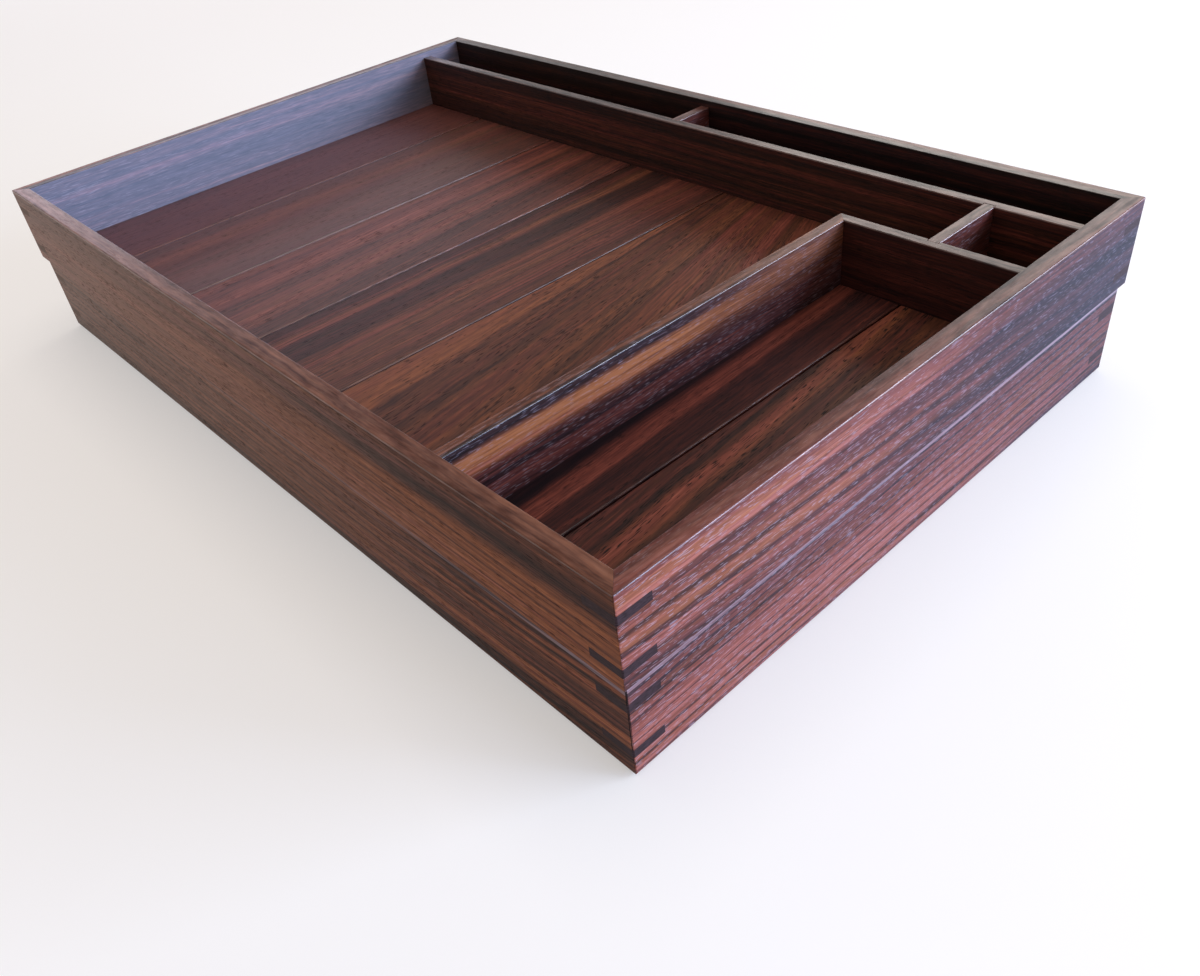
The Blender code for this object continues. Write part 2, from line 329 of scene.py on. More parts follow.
def make_plank(tray, number):
    """One floor plank with its half laps, a narrow gap to the next plank and eased upper edges."""
    node = f"{tray}_floor_plank_{number}"
    low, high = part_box(node)
    middle = (low.z + high.z) / 2
    piece = stick(node, low, high)
    if number > PLANKS[0]:
        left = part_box(f"{tray}_floor_plank_{number - 1}")[1].x + PLANK_GAP
        carve_box(piece, (low.x - OVERRUN, low.y - OVERRUN, middle - TIGHT),
                  (left, high.y + OVERRUN, high.z + OVERRUN))
    if number < PLANKS[-1]:
        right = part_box(f"{tray}_floor_plank_{number + 1}")[0].x - PLANK_GAP
        carve_box(piece, (right, low.y - OVERRUN, low.z - OVERRUN),
                  (high.x + OVERRUN, high.y + OVERRUN, middle + TIGHT))
    ease(piece, PLANK_ARRIS, FINE_STEPS, lambda one, two: runs_along(one, two, Y)
         and one.z > high.z - TIGHT)
    return piece


def make_divider(node):
    """One divider, with its upper edges eased, and housings for the dividers that meet it."""
    low, high = divider_box(node)
    piece = stick(node, low, high)
    corner = Vector((divider_box("small_tray_side_wall")[0].x, divider_box("small_tray_back_wall")[1].y, 0))
    mitred = node.startswith("small_tray")
    if mitred:
        ease(piece, TRAY_CORNER_ROUND, ROUND_STEPS, lambda one, two: runs_along(one, two, Z)
             and (one.xy - corner.xy).length < TIGHT)
    ease(piece, DIVIDER_ARRIS, ARRIS_STEPS, lambda one, two: min(one.z, two.z) > high.z - TIGHT)
    if mitred:
        across = Vector((1, 1, 0)).normalized()
        if DIVIDERS[node] == X:
            across = -across
        saw(piece, corner - across * TIGHT, across)
    for other in HOUSINGS.get(node, ()):
        carve_housing(piece, other)
    return piece


def make_batten(node):
    low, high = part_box(node)
    piece = stick(node, low, high)
    ease(piece, BATTEN_ROUND, ARRIS_STEPS, lambda one, two: max(one.z, two.z) < low.z + TIGHT)
    return piece


# Wood

class Value:
    """A number or colour that varies over a surface, so that sums on it are written as sums."""

    def __init__(self, nodes, socket):
        self.nodes = nodes
        self.socket = socket

    def maths(self, operation, *values):
        return self.nodes.node("ShaderNodeMath", {"operation": operation}, *values)

    def __add__(self, other):
        return self.maths("ADD", self, other)

    def __radd__(self, other):
        return self.maths("ADD", other, self)

    def __sub__(self, other):
        return self.maths("SUBTRACT", self, other)

    def __rsub__(self, other):
        return self.maths("SUBTRACT", other, self)

    def __mul__(self, other):
        return self.maths("MULTIPLY", self, other)

    def __rmul__(self, other):
        return self.maths("MULTIPLY", other, self)

    def __truediv__(self, other):
        return self.maths("DIVIDE", self, other)

    def __rtruediv__(self, other):
        return self.maths("DIVIDE", other, self)

    def wave(self):
        return self.maths("SINE", self)

    def larger(self, other):
        return self.maths("MAXIMUM", self, other)

    def over(self, start, end):
        """Zero at start, one at end and a smooth rise between them."""
        settings = {"interpolation_type": "SMOOTHSTEP"}
        return self.nodes.node("ShaderNodeMapRange", settings, self, start, end)


class Nodes:
    """The node tree of a material or of the world, under construction."""

    def __init__(self, tree):
        self.tree = tree

    def put(self, socket, value):
        """Link a varying value to a socket, or set a plain one on it."""
        if isinstance(value, Value):
            self.tree.links.new(value.socket, socket)
        else:
            socket.default_value = value

    def node(self, kind, settings, *values, output=None, **named):
        """Add a node: its settings first, then its sockets in order or by name. Gives one output."""
        node = self.tree.nodes.new(kind)
        for key, setting in settings.items():
            if key == "stops":
                set_stops(node.color_ramp, setting)
            else:
                setattr(node, key, setting)
        inputs = [socket for socket in node.inputs if socket.enabled]
        for socket, value in zip(inputs, values):
            self.put(socket, value)
        for key, value in named.items():
            self.put(node.inputs[key], value)
        outputs = [socket for socket in node.outputs if socket.enabled]
        return Value(self, node.outputs[output] if output else outputs[0])

    def noise(self, x, y, z, detail=2.0, rough=0.5):
        """Soft noise about zero at a point given in cells."""
        place = self.node("ShaderNodeCombineXYZ", {}, x, y, z)
        settings = {"Vector": place, "Scale": 1.0, "Detail": detail, "Roughness": rough}
        return self.node("ShaderNodeTexNoise", {}, **settings) - 0.5

    def ramp(self, value, stops):
        return self.node("ShaderNodeValToRGB", {"stops": stops}, value)

    def mix(self, share, one, two):
        """The first colour where share is zero, and the second where it is one."""
        return self.node("ShaderNodeMix", {"data_type": "RGBA"}, share, one, two)

    def seen(self):
        """One where the camera, a gloss or a glass looks at it, and zero where light is gathered."""
        camera, glossy, glass = (
            self.node("ShaderNodeLightPath", {}, output=f"Is {ray} Ray")
            for ray in ("Camera", "Glossy", "Transmission"))
        return glossy.larger(glass).larger(camera)


class Finish(Nodes):
    """A material under construction, with Object coordinates as three values."""

    def __init__(self, name):
        self.material = bpy.data.materials.new(name)
        self.material.use_nodes = True
        super().__init__(self.material.node_tree)
        self.shader = self.tree.nodes["Principled BSDF"]
        place = self.node("ShaderNodeTexCoord", {}, output="Object")
        split = self.node("ShaderNodeSeparateXYZ", {}, place)
        self.axes = [Value(self, socket) for socket in split.socket.node.outputs]

    def surface(self, values):
        """Set or link the surface shader's own sockets by name."""
        for name, value in values.items():
            self.put(self.shader.inputs[name], value)


def set_stops(ramp, stops):
    """Set a colour ramp's stops: each a place with a tone or a colour."""
    for place, _ in stops[2:]:
        ramp.elements.new(place)
    for element, (place, colour) in zip(ramp.elements, stops):
        element.position = place
        element.color = (*colour, 1) if isinstance(colour, tuple) else (colour, colour, colour, 1)


# Tones of the wood from the blackest streak to the palest, in linear colour
ORANGE_TONES = [
    (0.00, (0.009, 0.0065, 0.0065)),
    (0.20, (0.022, 0.0110, 0.0090)),
    (0.42, (0.062, 0.0225, 0.0140)),
    (0.60, (0.125, 0.0430, 0.0220)),
    (0.80, (0.235, 0.0800, 0.0330)),
    (1.00, (0.400, 0.1450, 0.0560)),
]
RED_TONES = [
    (0.00, (0.010, 0.0060, 0.0080)),
    (0.20, (0.024, 0.0095, 0.0105)),
    (0.42, (0.066, 0.0190, 0.0155)),
    (0.60, (0.130, 0.0340, 0.0250)),
    (0.80, (0.225, 0.0620, 0.0430)),
    (1.00, (0.360, 0.1150, 0.0800)),
]
DARK_PORE = (0.006, 0.004, 0.004, 1)
# Pale lilac pores: wax in them, with a painted highlight of light glinting in the pores
WAX_AND_GLINT_PORE = (0.40, 0.34, 0.40, 1)
# Pale wear on arrises and tops; on the planks' edges that face the lamps it is a painted highlight
PALE_WEAR_AND_HIGHLIGHT = (0.30, 0.17, 0.13, 1)
# A painted highlight along the seam below the lower tray's rim
SEAM_HIGHLIGHT_COLOUR = (0.46, 0.36, 0.40, 1)
# Painted sheens: a taupe haze of reflected light on the front walls, and slate and blue sheens of the cool
# window light on the right, small and left walls
PAINTED_TAUPE_SHEEN = (0.34, 0.27, 0.24, 1)
PAINTED_SLATE_SHEEN = (0.09, 0.11, 0.17, 1)
PAINTED_BLUE_SHEEN = (0.30, 0.32, 0.43, 1)

# Noises in the wood: cells in a metre along the board, across its rings and through it, then how far
# one seed moves them, their detail and their roughness
NOISES = {
    "slow": (4.0, 12.0, 0.0, 1.7, 1.0, 0.5),
    "quick": (22.0, 70.0, 0.0, 2.3, 2.0, 0.5),
    "stripe": (3.0, 330.0, 40.0, 3.1, 2.0, 0.6),
    "line": (10.0, 1300.0, 120.0, 4.3, 2.0, 0.6),
    "patch": (120.0, 1500.0, 300.0, 5.1, 2.0, 0.6),
    "fibre": (90.0, 4200.0, 900.0, 0.0, 1.0, 0.5),
    "shake": (12.0, 220.0, 0.0, 6.1, 2.0, 0.5),
    "pore": (850.0, 3600.0, 3800.0, 1.0, 0.0, 0.5),
    "crowd": (40.0, 260.0, 0.0, 5.9, 1.0, 0.5),
}
# Noise lies within about a quarter of zero, so this brings it to about one
NOISE_GAIN = 4
# How much further along the grain each seed begins, in metres
SEED_LENGTH = 0.37
# The rings: how far they quiver, how much they slant through the board, and where they hook
RING_WAVE = 1.6 * MM
RING_SLANT = 0.35
HOOKED_END = (0.65, 1.35)
# How far wandering rings move the place where the far end's bands take over
FADE_SWAY = 0.5
FADE_QUIVER = 0.25
# Where in the thickness, as shares of it, a board turns to the look of its inner side
INWARD = {"high": (0.4, 0.8), "low": (0.6, 0.2)}
# Where in their noise the pores open
PORE_EDGE = (0.15, 0.24)
# How the comb's teeth quiver, follow the stripes and come and go, and where they are darkest
COMB_QUIVER = 3.0
COMB_STRIPES = 0.9
COMB_PATCHES = (-0.20, 0.14)
COMB_FULL = 0.95
# How much the fibres change the tone, and the stripes the hue
FIBRE_SHADE = 0.3
HUE_STRIPES = 1.5
HUE_RANGE = (0.2, 0.8)
# What lies over the wood's colour: painted sheen, wear with a painted highlight on the planks' lit edges, the
# painted highlight strip below the rim and dark mitres
SHEEN_STRIPES = 0.2
SHEEN_PATCHES = 0.3
WEAR_AND_GLINT_LEAST = 0.12
WEAR_AND_GLINT_PATCHES = 0.5
WEAR_AND_GLINT_LINES = 0.6
WORN_SHINE = 1.2
SEAM_HIGHLIGHT_WANDER = 0.008
SEAM_HIGHLIGHT_BLUR = 0.006
MITRE_DARKNESS = 0.85
# How much rougher open pores are, and how much smoother lines and worn places
PORE_ROUGHNESS = 0.2
LINE_SMOOTHNESS = 0.15
WORN_SMOOTHNESS = 0.08
# The relief of the grain, beside pores of depth one
FIBRE_HEIGHT = 0.35
LINE_HEIGHT = 0.5
RELIEF = 0.06 * MM
RELIEF_STRENGTH = 0.35

# Bands of each visible board: how far across it, and how pale. Walls and dividers are read from the
# rim down, planks from left to right. Where there are two lists, the second is for the far end
PLAIN_BROWN = [(0.0, 0.42), (0.3, 0.48), (0.5, 0.42), (0.7, 0.5), (1.0, 0.44)]
STRIPED = [
    (0.0, 0.40), (0.10, 0.58), (0.18, 0.42), (0.26, 0.58), (0.34, 0.44), (0.46, 0.55), (0.55, 0.44),
    (0.75, 0.42), (1.0, 0.44),
]
UPPER_FRONT = [
    (0.0, 0.44), (0.20, 0.42), (0.32, 0.42), (0.42, 0.50), (0.60, 0.58), (0.66, 0.48), (0.80, 0.56),
    (1.0, 0.50),
]
UPPER_FRONT_AT_RIGHT = [
    (0.0, 0.44), (0.08, 0.40), (0.13, 0.20), (0.20, 0.24), (0.25, 0.14), (0.33, 0.17), (0.38, 0.44),
    (0.43, 0.58), (0.49, 0.60), (0.515, 0.38), (0.54, 0.56), (0.63, 0.62), (0.66, 0.34),
    (0.69, 0.56), (0.77, 0.60), (0.79, 0.36), (0.82, 0.56), (0.90, 0.60), (0.92, 0.40),
    (0.95, 0.54), (1.0, 0.46),
]
LOWER_FRONT = [
    (0.0, 0.46), (0.12, 0.48), (0.22, 0.40), (0.36, 0.48), (0.50, 0.42), (0.66, 0.48), (0.80, 0.40),
    (0.90, 0.24), (1.0, 0.22),
]
# Near the right end, the dark band just below the rim is painted shade under the foot of the tray above
LOWER_FRONT_AT_RIGHT = [
    (0.0, 0.40), (0.06, 0.14), (0.20, 0.20), (0.26, 0.50), (0.30, 0.22), (0.36, 0.52), (0.46, 0.34),
    (0.56, 0.20), (0.64, 0.26), (0.70, 0.56), (0.80, 0.54), (0.84, 0.14), (0.96, 0.10), (1.0, 0.30),
]
UPPER_RIGHT = [
    (0.0, 0.40), (0.09, 0.44), (0.13, 0.62), (0.17, 0.74), (0.25, 0.76), (0.28, 0.52), (0.30, 0.26),
    (0.35, 0.44), (0.40, 0.40), (0.43, 0.60), (0.47, 0.62), (0.49, 0.22), (0.515, 0.32),
    (0.54, 0.66), (0.62, 0.68), (0.65, 0.50), (0.67, 0.18), (0.70, 0.28), (0.72, 0.60),
    (0.80, 0.58), (0.83, 0.34), (0.90, 0.44), (0.94, 0.20), (1.0, 0.24),
]
UPPER_RIGHT_AT_BACK = [
    (0.0, 0.20), (0.06, 0.30), (0.13, 0.32), (0.20, 0.28), (0.24, 0.10), (0.30, 0.00), (0.38, 0.02),
    (0.43, 0.14), (0.48, 0.02), (0.55, 0.10), (0.62, 0.00), (1.0, 0.02),
]
LOWER_RIGHT = [
    (0.0, 0.26), (0.12, 0.34), (0.24, 0.40), (0.36, 0.52), (0.50, 0.58), (0.66, 0.66), (0.84, 0.68),
    (1.0, 0.64),
]
LOWER_RIGHT_AT_BACK = [(0.0, 0.28), (0.20, 0.34), (0.45, 0.46), (0.75, 0.42), (1.0, 0.34)]
SMALL_SIDE = [
    (0.0, 0.50), (0.035, 0.48), (0.055, 0.08), (0.17, 0.06), (0.21, 0.46), (0.25, 0.84),
    (0.33, 0.92), (0.36, 0.70), (0.39, 0.88), (0.47, 0.78), (0.53, 0.46), (0.60, 0.20),
    (0.64, 0.40), (0.67, 0.10), (0.73, 0.16), (0.78, 0.40), (0.90, 0.36), (1.0, 0.20),
]
SMALL_SIDE_AT_BACK = [
    (0.0, 0.46), (0.05, 0.34), (0.10, 0.52), (0.24, 0.62), (0.42, 0.60), (0.50, 0.40), (0.58, 0.50),
    (0.68, 0.28), (0.80, 0.32), (1.0, 0.14),
]
BLUISH = [
    (0.0, 0.42), (0.10, 0.52), (0.18, 0.56), (0.26, 0.48), (0.36, 0.54), (0.46, 0.44), (0.54, 0.34),
    (0.66, 0.36), (0.78, 0.44), (0.90, 0.50), (1.0, 0.46),
]
LONG_DIVIDER = [
    (0.0, 0.30), (0.2, 0.34), (0.35, 0.44), (0.5, 0.30), (0.6, 0.46), (0.75, 0.34), (1.0, 0.30),
]
HAZY = [(0.0, 0.40), (0.4, 0.46), (0.6, 0.42), (1.0, 0.45)]
FAINTLY_RED = [
    (0.0, 0.42), (0.22, 0.46), (0.30, 0.58), (0.40, 0.54), (0.48, 0.44), (0.75, 0.48), (1.0, 0.42),
]
WAVY = [
    (0.0, 0.42), (0.06, 0.52), (0.12, 0.54), (0.16, 0.38), (0.24, 0.54), (0.32, 0.56), (0.36, 0.38),
    (0.42, 0.48), (0.52, 0.57), (0.58, 0.54), (0.62, 0.36), (0.70, 0.40), (0.80, 0.42),
    (0.88, 0.58), (0.93, 0.40), (1.0, 0.40),
]
BLACK_BANDED = [
    (0.0, 0.30), (0.04, 0.26), (0.16, 0.26), (0.20, 0.36), (0.24, 0.42), (0.27, 0.60), (0.31, 0.56),
    (0.34, 0.30), (0.38, 0.25), (0.52, 0.27), (0.57, 0.46), (0.62, 0.55), (0.66, 0.44),
    (0.72, 0.54), (0.78, 0.44), (0.86, 0.52), (0.94, 0.38), (1.0, 0.42),
]
FLAMED = [
    (0.0, 0.44), (0.06, 0.42), (0.08, 0.55), (0.185, 0.57), (0.20, 0.32), (0.225, 0.44),
    (0.25, 0.36), (0.29, 0.36), (0.32, 0.48), (0.345, 0.40), (0.38, 0.49), (0.43, 0.51),
    (0.46, 0.38), (0.50, 0.48), (0.56, 0.52), (0.60, 0.41), (0.66, 0.48), (0.72, 0.52),
    (0.76, 0.41), (0.84, 0.48), (0.90, 0.52), (0.94, 0.42), (1.0, 0.48),
]
RED_STREAKED = [
    (0.0, 0.42), (0.25, 0.44), (0.42, 0.34), (0.50, 0.08), (0.60, 0.06), (0.635, 0.50),
    (0.665, 0.64), (0.725, 0.60), (0.76, 0.26), (0.84, 0.32), (0.90, 0.36), (1.0, 0.36),
]
EDGE_STREAKED = [
    (0.0, 0.38), (0.08, 0.44), (0.14, 0.36), (0.20, 0.42), (0.25, 0.30), (0.28, 0.50), (0.32, 0.68),
    (0.37, 0.60), (0.41, 0.36), (0.50, 0.46), (0.60, 0.38), (0.70, 0.48), (0.80, 0.40), (1.0, 0.44),
]


class Look:
    """How one board's rosewood looks. Places are shares of the board."""
    # The rings: the bands of the far end and where they take over, how far rings lean towards one
    # side, bow in the middle or hook at the far end, and the side that they fan out from and how far
    far = None
    fade = (0.40, 0.75)
    lean = 0.0
    bow = 0.0
    hook = 0.0
    fan = None
    # How far the rings wander slowly and quickly
    sway = 0.05
    wave = 1.0
    # Tone: paler all over, then the strength of stripes, lines and mottling, and the painted shade of the
    # inner face
    lift = 0.0
    stripes = 0.13
    lines = 0.12
    mottle = 0.10
    inner = None
    # Dark lines like a comb's teeth: depth, pitch in millimetres, thinness, spread and raggedness
    comb = 0.06
    comb_pitch = 1.4
    comb_edge = 0.15
    even = 0.0
    ragged = 16.0
    # Hue: from orange to red all over, and more towards the foot
    red = 0.5
    blush = 0.0
    # Painted sheen with its colour and share at both ends, and the painted highlight strip below the rim
    painted_sheen = None
    seam_highlight = None
    # Open pores: colour, strength at the near and far end, how long drawn out they are, and how much
    # they gather in some rings
    pore = DARK_PORE
    pores = 0.6
    pores_far = None
    pore_stretch = 3.5
    crowding = 0.5
    # Sheen of the wood and of the wax on it
    roughness = 0.42
    gloss = 0.2
    wax = 0.0
    wax_roughness = 0.24

    def __init__(self, bands, **changes):
        self.bands = bands
        for name, value in changes.items():
            setattr(self, name, value)


class Board(Finish):
    """Striped rosewood on a board between two corners: grain and across are axis numbers."""

    def __init__(self, name, low, high, grain, across, falling, look, seed):
        super().__init__(name)
        depth = X + Y + Z - grain - across
        self.look = look
        self.seed = seed
        self.width = high[across] - low[across]
        share = (self.axes[across] - low[across]) / self.width
        self.length = self.axes[grain] + seed * SEED_LENGTH
        self.along = (self.axes[grain] - low[grain]) / (high[grain] - low[grain])
        self.share = 1 - share if falling else share
        self.deep = self.axes[depth] - low[depth]
        self.slow = self.streaks("slow", self.share * self.width)
        self.quick = self.streaks("quick", self.share * self.width)
        self.ring = self.growth_ring()
        self.rings = self.ring * self.width
        self.stripe = self.streaks("stripe", self.rings)
        self.line = self.streaks("line", self.rings)
        self.patch = self.streaks("patch", self.rings)
        self.fibre = self.streaks("fibre", self.rings)
        self.inward = self.facing_in(high[depth] - low[depth])
        self.pore = self.open_pores()
        self.worn = self.node("ShaderNodeAttribute", {"attribute_name": "worn"}, output="Fac")
        self.mitred = self.node("ShaderNodeAttribute", {"attribute_name": "mitred"}, output="Fac")
        self.dress()

    def streaks(self, kind, across, drawn_out=1.0):
        """One of the noises, drawn out along the board."""
        along, over, through, stride, detail, rough = NOISES[kind]
        inward = self.deep * through + self.seed * stride
        return self.noise(self.length * (along / drawn_out), across * over, inward, detail, rough)

    def growth_ring(self):
        """Each point's ring, from 0 to 1 across the board. Rings slant a little through its thickness."""
        look = self.look
        ring = self.share + self.slow * (2 * look.sway)
        ring = ring + self.quick * (look.wave * RING_WAVE / self.width)
        ring = ring + self.deep * (RING_SLANT / self.width)
        if look.bow:
            ring = ring + self.along * (1 - self.along) * (4 * look.bow)
        if look.hook:
            ring = ring + self.along.over(*HOOKED_END) * look.hook
        if look.lean:
            ring = (ring + self.along * look.lean) / (1 + look.lean)
        if look.fan:
            side, spread = look.fan
            ring = (ring - side) / (1 + (0.5 - self.along) * spread) * (1 - abs(spread) / 2)
        return ring

    def facing_in(self, thick):
        """One on the side that faces into the tray, where a board looks different there."""
        if not self.look.inner:
            return 1.0
        side, _ = self.look.inner
        return (self.deep / thick).over(*INWARD[side])

    def open_pores(self):
        """Short dashes along the grain, crowded in some rings."""
        dash = self.streaks("pore", self.rings, self.look.pore_stretch)
        crowd = self.streaks("crowd", self.rings)
        return (dash + crowd * self.look.crowding).over(*PORE_EDGE)

    def banding(self):
        """How pale the board's bands are, also where those of its far end take over."""
        look = self.look
        bands = self.ramp(self.ring, look.bands)
        if look.far:
            there = (self.along + self.slow * FADE_SWAY + self.quick * FADE_QUIVER).over(*look.fade)
            bands = bands + (self.ramp(self.ring, look.far) - bands) * there
        return bands

    def comb_teeth(self):
        """Thin dark lines side by side, which come and go along the board."""
        look = self.look
        shake = self.streaks("shake", self.rings)
        turns = self.rings * (2 * math.pi / (look.comb_pitch * MM))
        turns = turns + shake * look.ragged + self.line * COMB_QUIVER
        patches = (shake + self.stripe * COMB_STRIPES + look.even).over(*COMB_PATCHES)
        return turns.wave().over(look.comb_edge, COMB_FULL) * patches

    def tone(self):
        """From the blackest streak at 0 to the palest at 1."""
        look = self.look
        tone = self.banding() + self.stripe * (NOISE_GAIN * look.stripes)
        tone = tone + self.line * (NOISE_GAIN * look.lines) + self.patch * (NOISE_GAIN * look.mottle)
        tone = tone + self.fibre * FIBRE_SHADE
        tone = tone - self.comb_teeth() * look.comb + look.lift
        # The inner face is darkened: painted shade
        if look.inner:
            _, shade = look.inner
            tone = tone + self.inward * shade
        return tone

    def colour(self):
        """The wood, then painted sheen, pores with painted glints, wear and painted edge highlights, the
        painted highlight below the rim and the dark of the mitres.
        """
        look = self.look
        tone = self.tone()
        hue = self.stripe * HUE_STRIPES + self.slow + self.ring * look.blush + look.red
        hue = hue.over(*HUE_RANGE)
        colour = self.mix(hue, self.ramp(tone, ORANGE_TONES), self.ramp(tone, RED_TONES))
        # Painted sheen of reflected and window light, changing from one end of the board to the other
        if look.painted_sheen:
            sheen_colour, here, there = look.painted_sheen
            sheen_share = self.along * (there - here) + self.stripe * SHEEN_STRIPES
            sheen_share = sheen_share + self.patch * SHEEN_PATCHES + here
            colour = self.mix(sheen_share * (1 - self.worn) * self.inward, colour, sheen_colour)
        # Pores; the pale ones on some boards hold a painted glint of light
        shown = look.pores
        if look.pores_far is not None:
            shown = self.along * (look.pores_far - look.pores) + look.pores
        colour = self.mix(self.pore * (1 - self.worn) * shown, colour, look.pore)
        # Wear pales the arrises and tops; on the planks' edges that face the lamps this is a painted
        # highlight
        wear = self.patch * WEAR_AND_GLINT_PATCHES + self.line * WEAR_AND_GLINT_LINES + WEAR_AND_GLINT_LEAST
        colour = self.mix(self.worn * wear, colour, PALE_WEAR_AND_HIGHLIGHT)
        if look.seam_highlight:
            # Just below the rim, a pale strip on the lower tray is a painted highlight along the seam under
            # the tray above
            edge, here, there = look.seam_highlight
            strip = (self.share + self.quick * SEAM_HIGHLIGHT_WANDER).over(edge + SEAM_HIGHLIGHT_BLUR, edge - SEAM_HIGHLIGHT_BLUR)
            colour = self.mix(strip * (self.along * (there - here) + self.line + here), colour, SEAM_HIGHLIGHT_COLOUR)
        return self.mix(self.mitred * MITRE_DARKNESS, colour, DARK_PORE)

    def dress(self):
        """Give the board its colour, sheen, the shine of its worn and glinting places and the fine relief of
        its grain.
        """
        look = self.look
        relief = self.fibre * FIBRE_HEIGHT + self.line * LINE_HEIGHT - self.pore
        bump = self.node("ShaderNodeBump", {}, Strength=RELIEF_STRENGTH, Distance=RELIEF, Height=relief)
        shine = self.worn * (self.patch * WORN_SHINE + self.line + 1 - look.wax)
        roughness = self.pore * PORE_ROUGHNESS - self.line * LINE_SMOOTHNESS - self.worn * WORN_SMOOTHNESS
        self.surface({
            "Base Color": self.colour(),
            "Roughness": roughness + look.roughness,
            "Specular IOR Level": look.gloss,
            "Coat Weight": shine + self.inward * look.wax,
            "Coat Roughness": look.wax_roughness,
            "Normal": bump,
        })


WALL_LOOKS = {
    ("upper", "front"): Look(
        UPPER_FRONT, far=UPPER_FRONT_AT_RIGHT, fade=(0.45, 0.80), sway=0.03, comb=0.08, comb_pitch=2.2,
        red=0.35, lift=0.20, gloss=0.05, painted_sheen=(PAINTED_TAUPE_SHEEN, 0.45, -0.08)),
    ("lower", "front"): Look(
        LOWER_FRONT, far=LOWER_FRONT_AT_RIGHT, fade=(0.60, 0.90), bow=-0.03, hook=0.28, sway=0.02,
        comb=0.22, comb_pitch=3.4, even=0.3, ragged=8.0, red=0.35, lift=0.23, gloss=0.05,
        painted_sheen=(PAINTED_TAUPE_SHEEN, 0.42, -0.08), seam_highlight=(0.088, -0.3, 0.35)),
    ("upper", "right"): Look(
        UPPER_RIGHT, far=UPPER_RIGHT_AT_BACK, fade=(0.30, 0.90), fan=(0.0, -0.4), sway=0.03,
        pore=WAX_AND_GLINT_PORE, pores=0.45, pores_far=0.22, pore_stretch=2.2, crowding=0.1,
        comb=0.16, comb_pitch=1.8, red=0.6, lift=0.18, gloss=0.08, painted_sheen=(PAINTED_SLATE_SHEEN, 0.02, 0.24)),
    ("lower", "right"): Look(
        LOWER_RIGHT, far=LOWER_RIGHT_AT_BACK, fade=(0.5, 1.0), sway=0.015,
        pore=WAX_AND_GLINT_PORE, pores=0.48, pores_far=0.26, pore_stretch=2.2, crowding=0.1,
        comb=0.40, comb_pitch=4.0, comb_edge=0.55, even=0.5, ragged=7.0, red=0.7, lift=0.18, gloss=0.08,
        painted_sheen=(PAINTED_SLATE_SHEEN, 0.04, 0.18), seam_highlight=(0.068, 0.35, 0.45)),
    # The left wall's inner face is darkened under a painted blue sheen of the cool window light
    ("upper", "left"): Look(
        BLUISH, inner=("high", -0.10), gloss=0.4, roughness=0.5, lift=0.02, wax=0.8, wax_roughness=0.45,
        mottle=0.24, stripes=0.3, lines=0.24, sway=0.08, red=0.2,
        pore=WAX_AND_GLINT_PORE, pores=0.4, pores_far=0.0, painted_sheen=(PAINTED_BLUE_SHEEN, 0.38, 0.34)),
    # The back wall's inner face is darkened: painted shade
    ("upper", "back"): Look(STRIPED, inner=("low", -0.30)),
}
PLANK_LOOKS = {
    1: Look(HAZY, red=0.8, stripes=0.05, lines=0.06, mottle=0.05, lift=0.09, gloss=0.7),
    2: Look(FAINTLY_RED, red=0.7, stripes=0.06, lines=0.06, mottle=0.06, lift=0.08, gloss=0.8),
    3: Look(WAVY, fan=(0.0, 0.4), sway=0.02, wave=2.0, red=0.6, lift=0.09, stripes=0.09,
            comb=0.08, comb_pitch=2.8, gloss=0.45),
    4: Look(BLACK_BANDED, sway=0.02, wave=2.0, red=0.55, lift=0.08, stripes=0.09, comb=0.12,
            comb_pitch=2.2, gloss=0.28),
    5: Look(FLAMED, fan=(-0.15, 1.0), sway=0.02, wave=2.5, red=0.35, lift=0.11, stripes=0.07, gloss=0.2),
    6: Look(RED_STREAKED, lean=0.2, sway=0.02, wave=1.5, red=1.0, gloss=0.15),
    7: Look(EDGE_STREAKED, lean=0.45, sway=0.03, wave=2.0, red=0.55, lift=0.02, stripes=0.10, pores=0.9),
}
SHORT_DIVIDER_LOOK = Look(PLAIN_BROWN, pore=WAX_AND_GLINT_PORE, pores=0.25, pore_stretch=3.0, red=0.8)
DIVIDER_LOOKS = {
    "long_divider": Look(LONG_DIVIDER, red=0.55, stripes=0.2, lines=0.16, lift=0.02),
    "pen_slot_divider": SHORT_DIVIDER_LOOK,
    "cup_divider": SHORT_DIVIDER_LOOK,
    "small_tray_side_wall": Look(
        SMALL_SIDE, far=SMALL_SIDE_AT_BACK, sway=0.02, pore=WAX_AND_GLINT_PORE, pores=0.44, pores_far=0.32,
        pore_stretch=3.0, crowding=0.1, comb=0.20, comb_pitch=1.2, red=0.0, blush=1.3, lift=0.17,
        stripes=0.16, lines=0.18, gloss=0.12, painted_sheen=(PAINTED_SLATE_SHEEN, 0.03, 0.08)),
    "small_tray_back_wall": Look(LONG_DIVIDER, red=0.6),
}
OTHER_WALL_LOOK = Look(STRIPED)
BATTEN_LOOK = Look(PLAIN_BROWN)

# The dark and the pale streaks of the keys, which blend in where the photograph shows no key. Each corner's
# tones follow the lit wood around it: painted light and shade
KEY_TONES = {
    "front_right": ((0.018, 0.011, 0.012), (0.052, 0.031, 0.035)),
    "front_left": ((0.100, 0.065, 0.052), (0.190, 0.125, 0.100)),
    "back_right": ((0.036, 0.026, 0.029), (0.074, 0.052, 0.057)),
    "back_left": ((0.030, 0.019, 0.017), (0.064, 0.040, 0.034)),
}
KEY_GRAIN = (500.0, 500.0, 2500.0)
KEY_STREAKS = (0.3, 0.7)
KEY_UNEVENNESS = 0.3
KEY_ROUGHNESS = 0.5
KEY_GLOSS = 0.05


